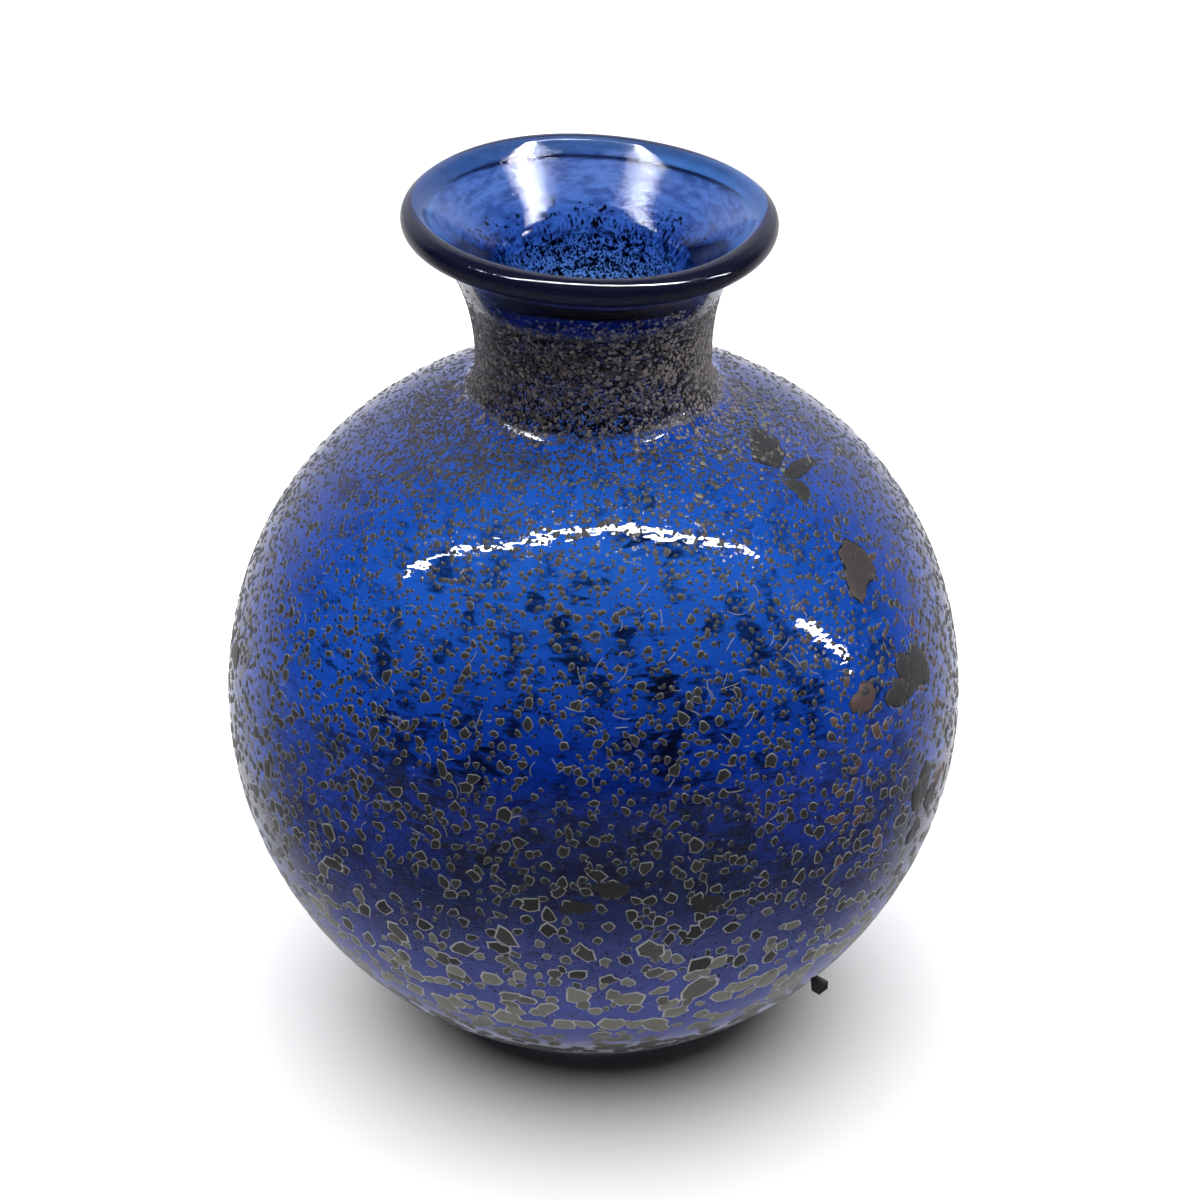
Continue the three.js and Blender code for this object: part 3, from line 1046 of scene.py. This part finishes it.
def lay_flakes(material, outline, settings):
    """The few large flakes, most of them down the right side."""
    crust = CrustMesh()
    surface = Surface(outline, 0.6 * MM, 63 * MM)
    rng = random.Random(settings.seed)
    for i, (side, height, across, tall, lean, tone, rust) in enumerate(LARGE_FLAKES):
        for part in range(3):
            slab = model_spot(5 + i % 2, settings.seed * 30 + 3 * i + part, poked=True,
                              jag=FLAKE_JAG)
            stamp = Stamp(slab, line=FLAKE_LINE)
            look = Look(settings.relief * (0.8 + 0.1 * part), settings.root, tone, rust)
            size = 1.0 if part == 0 else 0.62
            aside = 0 if part == 0 else rng.choice((-0.7, 0.7))
            above = 0 if part == 0 else rng.uniform(-0.6, 0.6)
            azimuth = math.radians(side) + aside * 1.4 * across / (30 * MM)
            stand = surface.stand(height + above * tall * 0.8, azimuth)
            crust.add(stamp, stand, (1.4 * across * size, 1.1 * tall * size),
                      math.radians(lean), look)
    finish_piece(crust.make("crust_flakes", outline), "crust_flakes", material)


def hang_fleck(crust, surface, fibre, settings):
    """A dark fleck that hangs from the belly on a fine thread, low on the right."""
    root = surface.stand(THREAD_HEIGHT, math.radians(THREAD_SIDE))[0]
    hang = Vector(FLECK_HANG)
    thread = (np.array(root) + np.outer((fibre.places[:, 0] + 1) / 2, hang)
              + THREAD_WIDTH * fibre.places * (0, 1, 1))
    crust.gather(fibre, thread, Look(0, 0, 1.0))
    fleck = Stamp(model_spot(6, settings.seed * 50, jag=FLAKE_JAG), line=FLAKE_LINE)
    upright = fleck.places[:, (0, 2, 1)] * FLECK_SIZE
    crust.gather(fleck, np.array(root + hang) + upright, Look(0, 0, 0.0))


def lay_dust(material, outline, settings):
    """Pale dust dots and fine curved fibres lying on the glass."""
    rng = random.Random(settings.seed + 9)
    fibre = Stamp(model_fibre(8), pale=True)
    dots = [Stamp(model_spot(5, settings.seed * 40 + i), pale=True) for i in range(4)]
    crust = CrustMesh()
    surface = Surface(outline, 12 * MM, 62 * MM)
    for _ in range(DUST_DOTS):
        stand = surface.stand(surface.height_at(rng.random()), rng.uniform(-math.pi, math.pi))
        size = rng.uniform(0.035, 0.09) * MM
        crust.add(rng.choice(dots), stand, (size, size), 0,
                  Look(0.95 * settings.relief, settings.root, 1.0))
    for _ in range(DUST_FIBRES):
        stand = surface.stand(rng.triangular(26, 60, 46) * MM, rng.uniform(-math.pi, math.pi))
        reach = rng.uniform(0.2, 0.9) * MM
        crust.add(fibre, stand, (reach, 0.08 * MM), rng.uniform(0, math.pi),
                  Look(0.95 * settings.relief, 0.01 * MM, 1.0, 0.0, rng.uniform(-0.5, 0.5)))
    hang_fleck(crust, surface, fibre, settings)
    finish_piece(crust.make("dust", outline), "dust", material)


class FLASK_OT_lay_crust(bpy.types.Operator):
    """Scatter the weathering crust over the shoulder, belly, underside and neck"""
    bl_idname = "flask.lay_crust"
    bl_label = "Lay Crust"

    def execute(self, context):
        finish = context.scene.crust_finish
        outline = Outline(context.scene.flask_sizes, finish.relief)
        material = crust_spots(finish, outline)
        for i, band in enumerate(CRUST_BANDS):
            lay_band(band, material, outline, finish.seed + i)
        lay_flakes(material, outline, finish)
        lay_dust(material, outline, finish)
        return {"FINISHED"}


# The stage

# Long narrow lights that the glass mirrors, and how wide and bright each one is.
STRIPS = (
    ("strip left", (-0.72, -0.02, 0.6), (-0.22, -0.088, 0.6), 0.020, 60),
    ("strip middle", (-0.22, -0.088, 0.6), (0.10, -0.060, 0.6), 0.013, 90),
    ("strip right", (0.10, -0.060, 0.6), (0.52, -0.020, 0.6), 0.018, 110),
    ("strip side", (0.85, -0.17, 0.49), (0.99, -0.03, 0.17), 0.045, 50),
)
STRIP_AIM = (0, 0, 0.05)  # the point that they face
SOFTBOX_PLACE = (-0.06, 0.14, 1.3)
SOFTBOX_WIDTH = 3.2
SOFTBOX_POWER = 73

# What the glass mirrors and lets through of the room.
ROOM_FRONT = (0.035, 0.036, 0.045)
ROOM_BACK = (0.8, 0.82, 0.9)
ROOM_BELOW = (0.95, 0.96, 1.0)

FLOOR_SIZE = 6
FLOOR_DROP = 0.05 * MM  # under the foot ring, so that the two don't share a plane


def add_strip(name, start, end, width, brightness):
    """A long narrow light seen only in gloss, from one end to the other, facing the flask."""
    start = Vector(start)
    end = Vector(end)
    middle = (start + end) / 2
    light = bpy.data.lights.new(name, "AREA")
    light.shape = "RECTANGLE"
    light.size = (end - start).length
    light.size_y = width
    light.energy = brightness * math.pi * light.size * light.size_y
    lamp = bpy.data.objects.new(name, light)
    bpy.context.scene.collection.objects.link(lamp)
    along = (end - start).normalized()
    back = (middle - Vector(STRIP_AIM)).normalized()
    side = back.cross(along).normalized()
    back = along.cross(side)
    lamp.location = middle
    lamp.rotation_euler = Matrix((along, side, back)).transposed().to_euler()
    lamp.visible_diffuse = False
    lamp.visible_transmission = False
    lamp.visible_camera = False
    return lamp


def room_light():
    """A pale room behind and below the flask, and a darker one on the camera's side."""
    world = bpy.data.worlds.new("room")
    world.use_nodes = True
    bpy.context.scene.world = world
    nodes = Nodes(world.node_tree)
    way = nodes.add("ShaderNodeTexCoord").outputs["Generated"]
    parts = nodes.add("ShaderNodeSeparateXYZ", None, {0: way})
    backwards = Value(nodes, parts.outputs["Y"])
    behind = nodes.between(backwards, 0.25, 0.85)
    shade = nodes.blend(behind, opaque(ROOM_FRONT), opaque(ROOM_BACK))
    below = nodes.between(Value(nodes, parts.outputs["Z"]), 0.0, -0.25)
    far = 0.20 + 0.80 * nodes.between(backwards, 0.1, 0.86)
    shade = nodes.blend(below * far, shade, opaque(ROOM_BELOW))
    background = nodes.add("ShaderNodeBackground", None, {"Color": shade, "Strength": 1.0})
    nodes.add("ShaderNodeOutputWorld", None, {"Surface": background.outputs[0]})


class FLASK_OT_set_stage(bpy.types.Operator):
    """Set up the pale floor, the soft lights and the camera"""
    bl_idname = "flask.set_stage"
    bl_label = "Set Stage"

    def execute(self, context):
        scene = context.scene
        stage = scene.stage_settings
        self.add_floor(stage)
        self.add_camera(scene, stage)
        room_light()
        for strip in STRIPS:
            add_strip(*strip)
        self.add_softbox()
        scene.view_settings.view_transform = "Standard"
        scene.cycles.diffuse_bounces = 2
        scene.cycles.glossy_bounces = 3
        scene.cycles.transmission_bounces = 9
        return {"FINISHED"}

    def add_floor(self, stage):
        deselect_all()
        bpy.ops.mesh.primitive_plane_add(size=FLOOR_SIZE, location=(0, 0, -FLOOR_DROP))
        floor = bpy.context.object
        bpy.ops.object.transform_apply(location=True, rotation=False, scale=False)
        floor.name = "floor"
        material, nodes = new_material("pale floor")
        shader = nodes.add("ShaderNodeBsdfPrincipled", None,
                           {"Base Color": opaque(stage.floor_colour), "Roughness": 0.6})
        nodes.finish(shader.outputs[0])
        floor.data.materials.append(material)
        floor.visible_glossy = False

    def add_camera(self, scene, stage):
        camera = bpy.data.objects.new("camera", bpy.data.cameras.new("camera"))
        scene.collection.objects.link(camera)
        tilt = stage.camera_elevation
        away = Vector((0, -math.cos(tilt), math.sin(tilt)))
        middle = Vector((0, 0, scene.flask_sizes.belly_height))
        camera.location = middle + stage.camera_distance * away
        camera.rotation_euler = (math.pi / 2 - tilt, 0, 0)
        camera.data.sensor_width = 36
        camera.data.lens = stage.lens
        camera.data.shift_x = stage.shift_x
        camera.data.shift_y = stage.shift_y
        camera.data.clip_start = 0.01
        scene.camera = camera

    def add_softbox(self):
        light = bpy.data.lights.new("softbox", "AREA")
        light.shape = "DISK"
        light.size = SOFTBOX_WIDTH
        light.energy = SOFTBOX_POWER
        lamp = bpy.data.objects.new("softbox", light)
        bpy.context.scene.collection.objects.link(lamp)
        lamp.location = SOFTBOX_PLACE
        lamp.rotation_euler = Vector(lamp.location).to_track_quat("Z", "Y").to_euler()
        lamp.visible_glossy = False
        lamp.visible_transmission = False


class FLASK_PT_panel(bpy.types.Panel):
    """Buttons for each step of the flask"""
    bl_idname = "FLASK_PT_panel"
    bl_label = "Weathered Flask"
    bl_space_type = "VIEW_3D"
    bl_region_type = "UI"
    bl_category = "Flask"

    def draw(self, context):
        for step in STEPS:
            self.layout.operator(step.bl_idname)
        for group in ("flask_sizes", "glass_finish", "crust_finish", "stage_settings"):
            settings = getattr(context.scene, group)
            box = self.layout.box()
            for name in settings.__annotations__:
                box.prop(settings, name)


STEPS = (FLASK_OT_blow_glass, FLASK_OT_lay_crust, FLASK_OT_set_stage)
GROUPS = {"flask_sizes": FlaskSizes, "glass_finish": GlassFinish, "crust_finish": CrustFinish,
          "stage_settings": StageSettings}
CLASSES = (*GROUPS.values(), *STEPS, FLASK_PT_panel)


def register():
    for item in CLASSES:
        bpy.utils.register_class(item)
    for name, group in GROUPS.items():
        setattr(bpy.types.Scene, name, PointerProperty(type=group))


def unregister():
    for name in GROUPS:
        delattr(bpy.types.Scene, name)
    for item in reversed(CLASSES):
        bpy.utils.unregister_class(item)


def main():
    register()
    bpy.ops.flask.blow_glass()
    bpy.ops.flask.lay_crust()
    bpy.ops.flask.set_stage()


if __name__ == "__main__":
    main()
